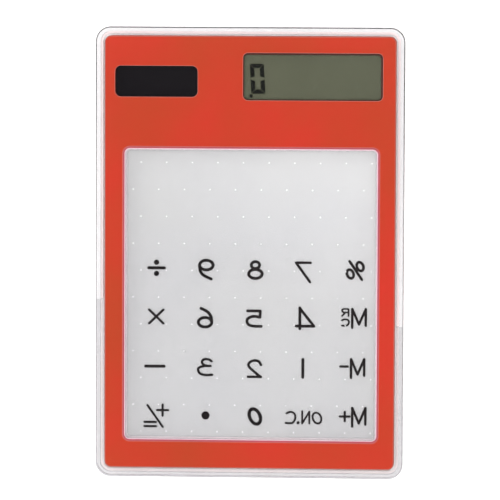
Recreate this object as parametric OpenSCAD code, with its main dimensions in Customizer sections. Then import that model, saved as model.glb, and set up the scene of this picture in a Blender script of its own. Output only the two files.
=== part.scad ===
// Slim see-through solar calculator with a touch keypad.
// It lies on its front face: +Z is the outward normal of the rear face,
// +Y points to the display end, and the origin is the middle of the front face.

/* [Body] */
// Width of the clear case
body_w = 82; // [81.6:0.1:82.6]
// Length of the clear case
body_l = 120; // [119.6:0.1:120.6]
// Thickness over both covers
body_t = 6.4; // [6.4:0.1:6.8]
// Plan radius of the case corners
body_r = 4; // [3:0.1:5]
// Thickness of the flat part of each clear cover
cover_t = 1.0; // [0.9:0.05:1.0]
// Thickness of the clear side walls
wall_t = 1.2; // [1.1:0.05:1.3]
// Height of the parting line between the two covers
part_z = 3.2; // [3:0.1:3.4]

/* [Locating lips] */
// Thickness of the locating lips inside the side walls
lip_t = 0.8; // [0.6:0.05:0.85]
// Overlap of a lip past the parting line
lip_h = 1.2; // [0.8:0.1:1.4]
// Y where the lips change over on the left side
lip_left_y = -12.6; // [-14:0.1:-11]
// Y where the lips change over on the right side
lip_right_y = -19.4; // [-21:0.1:-18]

/* [Coloured frame] */
// Width of the coloured inner frame
frame_w = 77.3; // [77:0.1:77.3]
// Length of the coloured inner frame
frame_l = 115.2; // [115:0.1:115.3]
// Corner radius of the coloured inner frame
frame_r = 1.8; // [1.2:0.1:2.4]
// Thickness of the front and rear plates of the frame
plate_t = 0.6; // [0.5:0.05:0.6]
// Thickness of the frame's perimeter wall
frame_wall = 0.8; // [0.6:0.05:0.8]
// Width of the light collars round the windows
collar_w = 0.8; // [0.6:0.05:0.9]

/* [Keypad window] */
// Width of the keypad window
key_w = 68.2; // [67.5:0.1:68.5]
// Height of the keypad window
key_h = 78.7; // [78:0.1:79]
// Centre of the keypad window across the body
key_x = 0.3; // [0:0.1:0.5]
// Centre of the keypad window along the body
key_y = -11.15; // [-11.4:0.05:-11]
// Corner radius of the keypad window
key_r = 1.9; // [1.2:0.1:2.5]

/* [Display window] */
// Width of the display window
lcd_w = 37.0; // [36.5:0.1:37.4]
// Height of the display window
lcd_h = 12.5; // [12:0.1:12.9]
// Centre of the display window across the body
lcd_x = 16.6; // [16.3:0.1:16.8]
// Centre of the display window along the body
lcd_y = 46.85; // [46.7:0.05:47]
// Corner radius of the display window
lcd_r = 1.3; // [0.8:0.1:1.8]

/* [Solar window] */
// Width of the solar cell window
sol_w = 21.9; // [21.5:0.1:22.2]
// Height of the solar cell window
sol_h = 8.2; // [7.8:0.1:8.4]
// Centre of the solar window across the body
sol_x = -24.9; // [-25:0.1:-24.6]
// Centre of the solar window along the body
sol_y = 45.5; // [45.3:0.1:45.8]
// Corner radius of the solar window
sol_r = 1.5; // [1:0.1:2]

/* [Touch panel] */
// Thickness of the flexible front film
film_t = 0.2; // [0.15:0.05:0.2]
// Air gap held between film and glass by the gasket
touch_gap = 0.15; // [0.12:0.01:0.2]
// Thickness of the touch panel's glass
touch_glass = 1.1; // [1:0.05:1.1]
// Diameter of one spacer dot
dot_d = 0.4; // [0.3:0.05:0.5]
// Height of one spacer dot
dot_h = 0.06; // [0.04:0.01:0.08]
// Thickness of the printed legends
ink_t = 0.05; // [0.03:0.01:0.05]
// Weight of the pen strokes in the legends, as a multiple of the light weight
ink_weight = 1.1; // [1:0.05:1.3]
// Gap between the clear window block and the frame, filled by the adhesive bead
bead_w = 0.45; // [0.3:0.05:0.5]

/* [Hidden] */
rear_z = body_t - cover_t;            // inside face of the rear cover
plate_z = rear_z - plate_t;           // inside face of the rear plate
tray_z = cover_t + plate_t;           // inside face of the front plate
film_z = tray_z + film_t;             // inner face of the touch film
base_z = film_z + touch_gap;          // front face of the touch glass
base_top = base_z + touch_glass;      // rear face of the touch glass
panel_w = key_w + 3.4;                // touch panel outline
panel_h = key_h + 3.4;
glass_t = 0.7;                        // one sheet of the display's glass
pol_t = 0.2;                          // one polariser
tape_t = 0.4;                         // adhesive frames
lcd_z = tray_z + tape_t;              // front face of the front polariser
cell_z = lcd_z + pol_t + glass_t;     // front face of the crystal layer
cell_t = 0.05;                        // thickness of the crystal layer
lcd_rear_z = cell_z + cell_t;         // front face of the rear glass
lcd_top = lcd_rear_z + glass_t + pol_t;
lcd_gw = 40.4;                        // width of the display's glass
lcd_gy0 = 36.9;                       // lower edge of the front glass
lcd_gy1 = 54.7;                       // upper edge of both glasses
lcd_ry0 = 39.2;                       // lower edge of the rear glass
board_z = 3.7;                        // front face of the circuit board
board_t = 0.8;
board_y0 = 30.3;
board_y1 = 39.0;
sol_z = tray_z + tape_t;              // front face of the solar glass
sol_top = sol_z + 1.1;
sol_coat_z = sol_top + 0.04;
pegs = [[-32, -54.5], [0, -54.5], [32, -54.5], [-34, 54], [-8, 46]];

// ---------- shared shapes ----------

// Rounded rectangle about the origin
module rr(w, h, r) {
    square([w - 2*r, h], center = true);
    square([w, h - 2*r], center = true);
    for (x = [-1, 1], y = [-1, 1])
        translate([x*(w/2 - r), y*(h/2 - r)]) circle(r, $fn = 64);
}

// Rounded plate from z0 to z1
module plate(w, h, r, z0, z1, cx = 0, cy = 0)
    translate([cx, cy, z0]) linear_extrude(z1 - z0) rr(w, h, r);

// Rounded frame: an outer plate less an opening
module ring(w, h, r, iw, ih, ir, z0, z1, cx = 0, cy = 0)
    translate([cx, cy, z0]) linear_extrude(z1 - z0) difference() {
        rr(w, h, r);
        rr(iw, ih, ir);
    }

// Plain block by its lower and upper corners
module block(a, b) translate(a) cube(b - a);

// ---------- case ----------

// Plan of the lower half of the case, below the lip steps
module lower_half(gap)
    polygon([[-60, lip_left_y - gap], [0, lip_left_y - gap],
        [0, lip_right_y - gap], [60, lip_right_y - gap], [60, -80], [-60, -80]]);

// Plan of a lip ring; out is its clearance from the side wall
module lip_plan(out) difference() {
    rr(body_w - 2*wall_t - 2*out, body_l - 2*wall_t - 2*out, body_r - wall_t - out);
    rr(body_w - 2*wall_t - 2*lip_t - 0.1, body_l - 2*wall_t - 2*lip_t - 0.1,
        body_r - wall_t - lip_t);
}

// Clear rear cover: flat plate, side wall, and a lip round the display end
module rear_cover() color([0.93, 0.95, 0.95, 0.35]) {
    difference() {
        plate(body_w, body_l, body_r, part_z, body_t);
        plate(body_w - 2*wall_t, body_l - 2*wall_t, body_r - wall_t, part_z - 1, rear_z);
    }
    translate([0, 0, part_z - lip_h]) linear_extrude(lip_h) difference() {
        lip_plan(0.05);
        lower_half(-0.15);
    }
    translate([0, 0, part_z]) linear_extrude(rear_z - part_z) difference() {
        lip_plan(0);
        lower_half(-0.15);
    }
}

// Clear front cover: bezel with the keypad opening, side wall, and a U-shaped lip
module front_cover() color([0.93, 0.95, 0.95, 0.35]) {
    difference() {
        plate(body_w, body_l, body_r, 0, part_z);
        plate(body_w - 2*wall_t, body_l - 2*wall_t, body_r - wall_t, cover_t, part_z + 1);
        plate(key_w + 0.6, key_h + 0.6, key_r + 0.3, -1, cover_t + 1, key_x, key_y);
    }
    translate([0, 0, part_z]) linear_extrude(lip_h) intersection() {
        lip_plan(0.05);
        lower_half(0.15);
    }
    translate([0, 0, cover_t]) linear_extrude(part_z - cover_t) intersection() {
        lip_plan(0);
        lower_half(0.15);
    }
}

// ---------- coloured frame ----------

module windows(z0, z1) {
    plate(key_w, key_h, key_r, z0, z1, key_x, key_y);
    plate(lcd_w, lcd_h, lcd_r, z0, z1, lcd_x, lcd_y);
    plate(sol_w, sol_h, sol_r, z0, z1, sol_x, sol_y);
}

// Front tray: front plate, perimeter wall, sockets and panel stops
module front_frame() color([0.86, 0.22, 0.18]) {
    difference() {
        plate(frame_w, frame_l, frame_r, cover_t, tray_z);
        windows(0, 3);
    }
    ring(frame_w, frame_l, frame_r, frame_w - 2*frame_wall, frame_l - 2*frame_wall,
        frame_r - frame_wall, tray_z, plate_z);
    for (p = pegs) translate([p[0], p[1], tray_z]) difference() {
        cylinder(h = plate_z - tray_z, r = 1.3, $fn = 48);
        translate([0, 0, 1.4]) cylinder(h = 5, r = 0.63, $fn = 48);
    }
    // stops that locate the touch panel, two on each long side and two below
    for (s = [-1, 1], y = [-30, 14])
        translate([key_x + s*(panel_w/2 + 0.1 + 0.4) - 0.4, y, tray_z]) cube([0.8, 8, 1.2]);
    for (x = [-22, 16])
        translate([x, key_y - panel_h/2 - 0.1 - 0.8, tray_z]) cube([8, 0.8, 1.2]);
}

// Rear plate with a light collar round each window and pegs for the tray's sockets
module rear_frame() color([0.86, 0.22, 0.18]) {
    difference() {
        union() {
            plate(frame_w, frame_l, frame_r, plate_z, rear_z);
            plate(key_w + 2*collar_w, key_h + 2*collar_w, key_r + collar_w,
                base_top + 0.2, plate_z, key_x, key_y);
            plate(lcd_w + 2*collar_w, lcd_h + 2*collar_w, lcd_r + collar_w,
                lcd_top + 0.3, plate_z, lcd_x, lcd_y);
            plate(sol_w + 2*collar_w, sol_h + 2*collar_w, sol_r + collar_w,
                sol_coat_z + 0.4, plate_z, sol_x, sol_y);
        }
        windows(2, rear_z + 1);
    }
    for (p = pegs) translate([p[0], p[1], tray_z + 1.6])
        cylinder(h = plate_z - tray_z - 1.6, r = 0.6, $fn = 48);
}

// ---------- touch panel ----------

// Flexible polyester film that the finger presses
module touch_film() color([0.93, 0.94, 0.95, 0.5])
    plate(panel_w, panel_h, 1.2, tray_z, film_z, key_x, key_y);

// Adhesive frame that holds the film clear of the glass
module touch_gasket() color([0.86, 0.62, 0.68])
    ring(panel_w - 1.8, panel_h - 1.8, 0.9, key_w - 2.0, key_h - 2.0, 1.0,
        film_z, base_z, key_x, key_y);

// Rows of insulating dots printed on the glass, every other row shifted
module touch_spacer_dots() color([0.98, 0.98, 0.98])
    for (r = [0:10], c = [0:9])
        translate([-29.1 - 2.1*(r % 2) + 6.82*c, 23.9 - 7.2*r, base_z - dot_h])
            cylinder(h = dot_h, r = dot_d/2, $fn = 16);

// Conductive glass behind the film
module touch_glass_base() color([0.9, 0.92, 0.92, 0.4])
    plate(panel_w, panel_h, 1.2, base_z, base_top, key_x, key_y);

// Printed silver conductors: two on the film, two on the glass
module touch_silver_bars() color([0.75, 0.76, 0.78]) {
    for (s = [-1, 1])
        translate([key_x + s*(panel_w/2 - 0.45) - 0.3, key_y - 36, film_z])
            cube([0.6, 72, 0.07]);
    translate([key_x - 31, key_y - panel_h/2 + 0.15, base_z - 0.07]) cube([62, 0.6, 0.07]);
    translate([key_x - 8, key_y + panel_h/2 - 0.75, base_z - 0.07]) cube([38, 0.6, 0.07]);
}

// Foam frame between the glass and the rear plate's collar
module touch_cushion() color([0.85, 0.84, 0.82])
    ring(key_w + 2*collar_w, key_h + 2*collar_w, key_r + collar_w,
        key_w + 0.5, key_h + 0.5, key_r + 0.25, base_top, base_top + 0.2, key_x, key_y);

// Clear block that fills the keypad window between the glass and the rear cover
module window_block() color([0.95, 0.96, 0.97, 0.3])
    plate(key_w - 2*bead_w, key_h - 2*bead_w, key_r - bead_w, base_top, rear_z, key_x, key_y);

// Adhesive bead that holds the block in the frame
module window_bead() color([0.75, 0.42, 0.5])
    ring(key_w, key_h, key_r, key_w - 2*bead_w, key_h - 2*bead_w, key_r - bead_w,
        plate_z, rear_z - 0.05, key_x, key_y);

// Flexible tail from the panel's upper edge to the circuit board
module touch_tail() color([0.85, 0.6, 0.25])
    translate([-27, 0, 0]) rotate([90, 0, 90]) linear_extrude(14)
        polygon([[29.05, film_z + 0.02], [30.05, film_z + 0.02], [31.6, 3.55], [34.2, 3.55],
            [34.2, board_z], [31.5, board_z], [29.95, film_z + 0.14], [29.05, film_z + 0.14]]);

// ---------- printed legends ----------

// Point at t on the curve through four points
function bend(a, b, c, d, t) =
    0.5*(2*b + (c - a)*t + (2*a - 5*b + 4*c - d)*t*t + (3*b - a - 3*c + d)*t*t*t);
function curve(P, n) = let (m = len(P) - 1) concat(
    [for (i = [0:m-1], k = [0:n-1])
        bend(P[max(i-1, 0)], P[i], P[i+1], P[min(i+2, m)], k/n)], [P[m]]);
function unit(v) = v/norm(v);
function side(C, i) = let (d = unit(C[min(i+1, len(C)-1)] - C[max(i-1, 0)])) [-d[1], d[0]];

// Pen stroke of width t with round ends through the points P
module ink(P, pen, n = 4) {
    t = pen*ink_weight;
    C = curve(P, n);
    m = len(C) - 1;
    a = side(C, 0);
    b = side(C, m);
    polygon(concat(
        [for (i = [0:m]) C[i] + side(C, i)*t/2],
        [for (k = [1:5]) C[m] + t/2*(cos(30*k)*b + sin(30*k)*[b[1], -b[0]])],
        [for (i = [m:-1:0]) C[i] - side(C, i)*t/2],
        [for (k = [1:5]) C[0] - t/2*(cos(30*k)*a + sin(30*k)*[a[1], -a[0]])]));
}
module line(a, b, t) ink([a, b], t, 1);
module oval(rx, ry) polygon([for (i = [0:35]) [rx*cos(10*i), ry*sin(10*i)]]);
module loop(rx, ry, pen) difference() {
    oval(rx + pen*ink_weight/2, ry + pen*ink_weight/2);
    oval(rx - pen*ink_weight/2, ry - pen*ink_weight/2);
}
module spot(x, y, d) translate([x, y]) circle(d/2, $fn = 32);

// All legends are written as they are seen from the rear, so mirrored
module g_divide() {
    line([-2.1, 0], [2.1, 0], 0.75);
    spot(0, 1.5, 1.4);
    spot(0, -1.5, 1.4);
}
module g_nine() {
    translate([0, 1.3]) loop(1.79, 1.28, 0.75);
    ink([[-1.79, 1.1], [-1.6, -0.3], [-0.75, -1.4], [1.3, -2.4]], 0.75);
}
module g_eight() {
    translate([0, 1.3]) loop(1.1, 0.92, 0.72);
    translate([0, -1.05]) loop(1.78, 1.2, 0.75);
}
module g_seven() {
    line([1.9, 2.2], [-1.9, 2.2], 0.62);
    line([-1.95, 2.15], [1.75, -2.95], 0.64);
}
module g_percent() {
    translate([-1.3, -1.0]) rotate(22) loop(0.85, 1.2, 0.68);
    translate([1.3, 1.0]) rotate(22) loop(0.85, 1.2, 0.68);
    line([-1.5, 2.4], [1.8, -2.5], 0.66);
}
module g_times() {
    line([-1.9, 1.8], [1.9, -1.85], 0.6);
    line([-1.9, -1.85], [1.9, 1.8], 0.6);
}
module g_six() {
    translate([0, -1.15]) loop(1.79, 1.26, 0.75);
    ink([[1.79, -0.9], [1.55, 0.45], [0.6, 1.7], [-1.1, 2.55]], 0.75);
}
module g_five() {
    line([-1.8, 1.9], [1.55, 1.9], 0.7);
    line([1.6, 1.85], [1.5, 0.2], 0.7);
    ink([[1.5, 0.2], [-0.3, 0.45], [-1.85, -0.3], [-1.7, -1.6], [-0.3, -2.15], [1.85, -2.2]], 0.7);
}
module g_four() {
    line([-1.7, 2.8], [-1.7, -2.8], 0.7);
    line([-2.7, -2.1], [2.05, -2.1], 0.7);
    line([-1.75, 2.7], [2.0, -2.0], 0.68);
}
// Capital M; the outer leg on the left is as tall as the two peaks
module g_m(w) {
    line([-w/2, -2.5], [-w/2, 2.5], 0.62);
    line([-w/2, 2.5], [0, -1.6], 0.6);
    line([0, -1.6], [w/2, 2.5], 0.6);
    line([w/2, 2.5], [w/2, -1.9], 0.62);
}
// Small R over small C, one above the other
module g_rc() {
    line([0.75, 2.25], [0.75, 0.45], 0.45);
    ink([[0.7, 2.25], [-0.55, 2.3], [-1.0, 1.85], [-0.5, 1.4], [0.7, 1.4]], 0.42);
    line([-0.1, 1.35], [-0.95, 0.45], 0.42);
    ink([[-1.0, -0.75], [-0.2, -0.45], [0.7, -0.75], [0.85, -1.45], [0.3, -2.1], [-1.0, -2.15]], 0.45);
}
module g_minus() line([-2.5, 0], [2.5, 0], 0.72);
module g_three() {
    ink([[1.7, 1.6], [0.75, 2.15], [-0.55, 2.0], [-0.85, 1.1], [0.1, 0.45], [1.4, 0.35]], 0.6);
    ink([[1.3, 0.35], [-0.4, 0.3], [-1.85, -0.3], [-1.55, -1.55], [-0.1, -2.1], [1.85, -2.0]], 0.6);
}
module g_two() {
    ink([[1.75, 1.0], [1.1, 1.95], [-0.3, 2.15], [-1.5, 1.4], [-1.3, 0.3], [1.5, -2.1]], 0.64);
    line([1.75, -2.2], [-1.75, -2.2], 0.62);
}
module g_one() line([0, 2.4], [0, -2.4], 0.72);
module g_hyphen() line([-1.0, 0], [1.0, 0], 0.6);
module g_plus_equals() {
    line([-1.7, 2.9], [2.4, -2.9], 0.55);
    line([0.85, 1.6], [3.85, 1.6], 0.55);
    line([2.35, 3.1], [2.35, 0.1], 0.55);
    line([-2.5, -1.6], [0.6, -1.6], 0.56);
    line([-2.5, -2.75], [0.6, -2.75], 0.56);
}
module g_point() spot(0, 0, 2.2);
module g_zero() rotate(24) loop(1.38, 2.12, 0.85);
module g_on_c() {
    ink([[-4.6, 1.1], [-3.4, 1.5], [-2.4, 0.9], [-2.3, -0.4], [-3.1, -1.5], [-4.8, -1.5]], 0.5);
    spot(-1.5, -1.4, 0.85);
    line([-0.4, 1.7], [-0.4, -1.6], 0.46);
    line([-0.4, -1.6], [1.5, 1.6], 0.46);
    line([1.5, 1.6], [1.5, -1.6], 0.46);
    translate([3.55, -0.1]) rotate(22) loop(1.1, 1.5, 0.5);
}
module g_plus() {
    line([-1.3, 0], [1.3, 0], 0.58);
    line([0, 1.25], [0, -1.25], 0.58);
}
module key(x, y) translate([x, y, film_z]) linear_extrude(ink_t) children();

// Ink on the inner face of the film
module key_legends() color([0.12, 0.1, 0.1]) {
    key(-24.95, -4.3) g_divide();
    key(-11.65, -4.75) g_nine();
    key(1.45, -4.65) g_eight();
    key(14.25, -4.8) g_seven();
    key(28.0, -4.5) g_percent();
    key(-25.0, -17.3) g_times();
    key(-11.95, -17.6) g_six();
    key(1.2, -17.5) g_five();
    key(15.05, -17.45) g_four();
    key(29.1, -17.35) g_m(3.6);
    key(25.55, -17.15) g_rc();
    key(-25.35, -30.65) g_minus();
    key(-11.85, -30.8) g_three();
    key(1.3, -31.05) g_two();
    key(14.2, -30.85) g_one();
    key(28.8, -30.75) g_m(3.5);
    key(25.2, -30.25) g_hyphen();
    key(-25.6, -44.05) g_plus_equals();
    key(-11.75, -43.75) g_point();
    key(1.45, -43.9) g_zero();
    key(14.5, -44.05) g_on_c();
    key(29.2, -43.85) g_m(3.5);
    key(25.45, -43.65) g_plus();
}

// ---------- display ----------

module lcd_front_tape() color([0.2, 0.2, 0.2])
    ring(lcd_w + 2, lcd_h + 2, 0.8, lcd_w + 0.4, lcd_h + 0.4, 0.8, tray_z, lcd_z, lcd_x, lcd_y);

module lcd_front_polariser() color([0.45, 0.47, 0.42, 0.7])
    block([lcd_x - 19.8, lcd_ry0 + 0.3, lcd_z], [lcd_x + 19.8, lcd_gy1 - 0.3, lcd_z + pol_t]);

// Front glass, longer at its lower edge to carry the contacts
module lcd_front_glass() color([0.75, 0.8, 0.75, 0.4])
    block([lcd_x - lcd_gw/2, lcd_gy0, lcd_z + pol_t], [lcd_x + lcd_gw/2, lcd_gy1, cell_z]);

// Epoxy seal that closes the crystal layer
module lcd_seal() color([0.7, 0.7, 0.62]) difference() {
    block([lcd_x - lcd_gw/2, lcd_ry0, cell_z], [lcd_x + lcd_gw/2, lcd_gy1, cell_z + cell_t]);
    block([lcd_x - lcd_gw/2 + 1, lcd_ry0 + 0.8, cell_z - 1],
        [lcd_x + lcd_gw/2 - 1, lcd_gy1 - 0.8, cell_z + 1]);
}

// Slant of the digit, its top leaning left as seen from the rear
function lean(p) = [p[0] - 0.06*(p[1] - 46.2), p[1]];
module segment(P) polygon([for (p = P) lean(p)]);

// The lit segments of one digit and its point
module lcd_segments() color([0.12, 0.13, 0.11]) {
    x0 = -0.02; x1 = 3.68; y0 = 42.3; y1 = 50.2; ym = 46.25; t = 1.12; g = 0.1;
    translate([0, 0, cell_z]) linear_extrude(cell_t) {
        segment([[x0 + g, y1], [x0 + t + g, y1 - t], [x1 - t - g, y1 - t], [x1 - g, y1]]);
        segment([[x0 + g, y0], [x1 - g, y0], [x1 - t - g, y0 + t], [x0 + t + g, y0 + t]]);
        segment([[x0, y1 - g], [x0, ym + 0.25], [x0 + t, ym + 0.6], [x0 + t, y1 - t - g]]);
        segment([[x0, y0 + g], [x0 + t, y0 + t + g], [x0 + t, ym - 0.6], [x0, ym - 0.25]]);
        segment([[x1, y1 - g], [x1 - t, y1 - t - g], [x1 - t, ym + 0.6], [x1, ym + 0.25]]);
        segment([[x1, y0 + g], [x1, ym - 0.25], [x1 - t, ym - 0.6], [x1 - t, y0 + t + g]]);
        translate([0.1, 41.65]) circle(0.45, $fn = 32);
    }
}

module lcd_rear_glass() color([0.75, 0.8, 0.75, 0.4])
    block([lcd_x - lcd_gw/2, lcd_ry0, lcd_rear_z], [lcd_x + lcd_gw/2, lcd_gy1, lcd_rear_z + glass_t]);

module lcd_rear_polariser() color([0.42, 0.43, 0.37, 0.7])
    block([lcd_x - 19.8, lcd_ry0 + 0.3, lcd_top - pol_t], [lcd_x + 19.8, lcd_gy1 - 0.3, lcd_top]);

// Dark foam seal; its opening sits a little low and to the left in the window
module lcd_cushion() color([0.2, 0.2, 0.2]) difference() {
    plate(lcd_w + 2*collar_w, lcd_h + 2*collar_w, lcd_r + collar_w, lcd_top, lcd_top + 0.3, lcd_x, lcd_y);
    plate(lcd_w - 0.65, lcd_h - 0.7, lcd_r - 0.3, lcd_top - 1, lcd_top + 1, lcd_x - 0.175, lcd_y - 0.15);
}

// Rubber strip of conductive layers between the display's ledge and the board
module zebra_strip() color([0.85, 0.5, 0.6])
    block([lcd_x - 19, 37.2, cell_z], [lcd_x + 19, 38.8, board_z]);

// ---------- electronics ----------

module circuit_board() color([0.1, 0.35, 0.18])
    block([-36, board_y0, board_z], [37, board_y1, board_z + board_t]);

// Epoxy drop over the bonded chip
module chip_blob() color([0.05, 0.05, 0.05])
    translate([-6, 33.6, board_z]) intersection() {
        translate([0, 0, 3.55]) sphere(r = 4.65, $fn = 64);
        translate([0, 0, -3]) cylinder(h = 3, r = 4, $fn = 64);
    }

module storage_capacitor() color([0.75, 0.6, 0.2])
    block([6, 32.4, board_z - 1.6], [9.5, 35.2, board_z]);

module clamp_diode() color([0.9, 0.4, 0.3])
    block([14, 33, board_z - 0.8], [16, 34.25, board_z]);

module chip_resistors() color([0.15, 0.15, 0.16])
    for (x = [20, 23, 26])
        translate([x, 33, board_z - 0.45]) cube([0.8, 1.6, 0.45]);

module board_tape() color([0.9, 0.9, 0.88])
    block([-34, 31.2, board_z + board_t], [35, 38.2, plate_z]);

// ---------- solar cell ----------

module solar_tape() color([0.2, 0.2, 0.2])
    ring(sol_w + 2.2, sol_h + 2.2, 0.8, sol_w + 0.4, sol_h + 0.4, 0.8, tray_z, sol_z, sol_x, sol_y);

module solar_glass() color([0.3, 0.3, 0.32, 0.6])
    block([sol_x - 12.45, sol_y - 5.5, sol_z], [sol_x + 12.45, sol_y + 5.5, sol_top]);

// Four silicon strips in series on the rear of the glass
module solar_strips() color([0.2, 0.12, 0.14])
    for (i = [0:3])
        translate([sol_x - 11.9 + 6.0*i, sol_y - 4.9, sol_top]) cube([5.8, 9.8, 0.04]);

module solar_backing() color([0.09, 0.08, 0.09])
    block([sol_x - 12.1, sol_y - 4.93, sol_coat_z], [sol_x + 12.1, sol_y + 4.95, sol_coat_z + 0.1]);

module solar_cushion() color([0.2, 0.2, 0.2])
    ring(sol_w + 2*collar_w, sol_h + 2*collar_w, sol_r + collar_w,
        sol_w + 0.4, sol_h + 0.4, sol_r + 0.2, sol_coat_z + 0.1, sol_coat_z + 0.4, sol_x, sol_y);

// Two flat conductors from the cell to the board
module solar_leads() color([0.8, 0.55, 0.35])
    for (x = [-34, -16])
        translate([x - 0.25, 38.0, board_z - 0.15]) cube([0.5, 2.4, 0.15]);

module solder_joints() color([0.78, 0.79, 0.8]) {
    for (x = [-34, -16]) {
        translate([x, 40.27, sol_top]) cylinder(h = board_z - 0.15 - sol_top, r = 0.25, $fn = 24);
        translate([x, 38.3, board_z - 0.4]) cylinder(h = 0.25, r = 0.35, $fn = 24);
    }
}

rear_cover();
front_cover();
rear_frame();
front_frame();
touch_film();
touch_gasket();
touch_spacer_dots();
touch_glass_base();
touch_silver_bars();
touch_cushion();
touch_tail();
key_legends();
window_block();
window_bead();
lcd_front_tape();
lcd_front_polariser();
lcd_front_glass();
lcd_seal();
lcd_segments();
lcd_rear_glass();
lcd_rear_polariser();
lcd_cushion();
zebra_strip();
circuit_board();
chip_blob();
storage_capacitor();
clamp_diode();
chip_resistors();
board_tape();
solar_tape();
solar_glass();
solar_strips();
solar_backing();
solar_cushion();
solar_leads();
solder_joints();
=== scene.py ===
import math
import bpy
import bmesh
from mathutils import Matrix, Vector


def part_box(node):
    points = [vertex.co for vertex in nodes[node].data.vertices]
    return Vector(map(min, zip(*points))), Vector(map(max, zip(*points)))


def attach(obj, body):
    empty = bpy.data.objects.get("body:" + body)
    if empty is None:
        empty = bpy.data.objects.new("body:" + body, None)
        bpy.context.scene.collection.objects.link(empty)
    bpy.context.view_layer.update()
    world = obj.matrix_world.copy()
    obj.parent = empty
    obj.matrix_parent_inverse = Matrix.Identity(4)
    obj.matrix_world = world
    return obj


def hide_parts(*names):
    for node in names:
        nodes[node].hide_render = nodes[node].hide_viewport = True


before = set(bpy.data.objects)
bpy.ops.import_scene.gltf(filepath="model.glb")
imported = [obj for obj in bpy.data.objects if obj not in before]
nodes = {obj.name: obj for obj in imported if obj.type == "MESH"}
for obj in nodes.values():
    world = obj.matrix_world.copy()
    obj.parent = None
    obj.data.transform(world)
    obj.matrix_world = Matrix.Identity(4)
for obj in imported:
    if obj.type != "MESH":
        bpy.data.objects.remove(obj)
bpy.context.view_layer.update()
scene = bpy.context.scene
MM = 0.001

# ------------------------------------------------------------------ camera
R = (Matrix.Rotation(math.radians(0.228), 4, "Z")
     @ Matrix.Rotation(math.radians(3.187), 4, "Y")
     @ Matrix.Rotation(math.radians(-4.537), 4, "X"))
target = Vector((0.10, 0.853, 5.4)) * MM
cam_data = bpy.data.cameras.new("camera")
cam_data.lens = 3766.4 / 500 * 36
cam_data.sensor_width = 36
cam_data.clip_start = 0.01
cam_data.clip_end = 50
cam = bpy.data.objects.new("camera", cam_data)
cam.matrix_world = Matrix.Translation(target + (R @ Vector((0, 0, 1)))) @ R
scene.collection.objects.link(cam)
scene.camera = cam


# ------------------------------------------------------------------ materials
class Mat:
    """A small helper that builds a node material."""

    def __init__(self, name):
        self.m = bpy.data.materials.new(name)
        self.m.use_nodes = True
        self.t = self.m.node_tree
        self.t.nodes.clear()
        self.out = self.t.nodes.new("ShaderNodeOutputMaterial")
        self.coord = None

    def node(self, kind, **kw):
        n = self.t.nodes.new(kind)
        for k, v in kw.items():
            if k.startswith("in_"):
                n.inputs[k[3:].replace("_", " ")].default_value = v
            else:
                setattr(n, k, v)
        return n

    def link(self, a, b):
        self.t.links.new(a, b)

    def obj(self):
        if self.coord is None:
            self.coord = self.node("ShaderNodeTexCoord")
        return self.coord.outputs["Object"]

    def principled(self, **kw):
        n = self.t.nodes.new("ShaderNodeBsdfPrincipled")
        for k, v in kw.items():
            n.inputs[k.replace("_", " ")].default_value = v
        return n

    def noise(self, scale, detail=3.0, rough=0.5, stretch=None):
        n = self.node("ShaderNodeTexNoise")
        n.inputs["Scale"].default_value = scale
        n.inputs["Detail"].default_value = detail
        n.inputs["Roughness"].default_value = rough
        if stretch:
            mp = self.node("ShaderNodeMapping")
            mp.inputs["Scale"].default_value = stretch
            self.link(self.obj(), mp.inputs["Vector"])
            self.link(mp.outputs["Vector"], n.inputs["Vector"])
        else:
            self.link(self.obj(), n.inputs["Vector"])
        return n.outputs["Fac"]

    def ramp(self, fac, stops):
        n = self.node("ShaderNodeValToRGB")
        el = n.color_ramp.elements
        while len(el) < len(stops):
            el.new(0.5)
        for e, (p, c) in zip(el, stops):
            e.position = p
            e.color = tuple(c) + (1.0,) if len(c) == 3 else c
        self.link(fac, n.inputs["Fac"])
        return n.outputs["Color"]

    def grey(self, fac, lo, hi, a=0.3, b=0.7):
        n = self.node("ShaderNodeMapRange")
        n.inputs["From Min"].default_value = a
        n.inputs["From Max"].default_value = b
        n.inputs["To Min"].default_value = lo
        n.inputs["To Max"].default_value = hi
        self.link(fac, n.inputs["Value"])
        return n.outputs["Result"]

    def bump(self, height, strength, distance, bsdf):
        n = self.node("ShaderNodeBump")
        n.inputs["Strength"].default_value = strength
        n.inputs["Distance"].default_value = distance
        self.link(height, n.inputs["Height"])
        self.link(n.outputs["Normal"], bsdf.inputs["Normal"])
        return n

    def done(self, shader):
        self.link(shader, self.out.inputs["Surface"])
        return self.m


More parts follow.
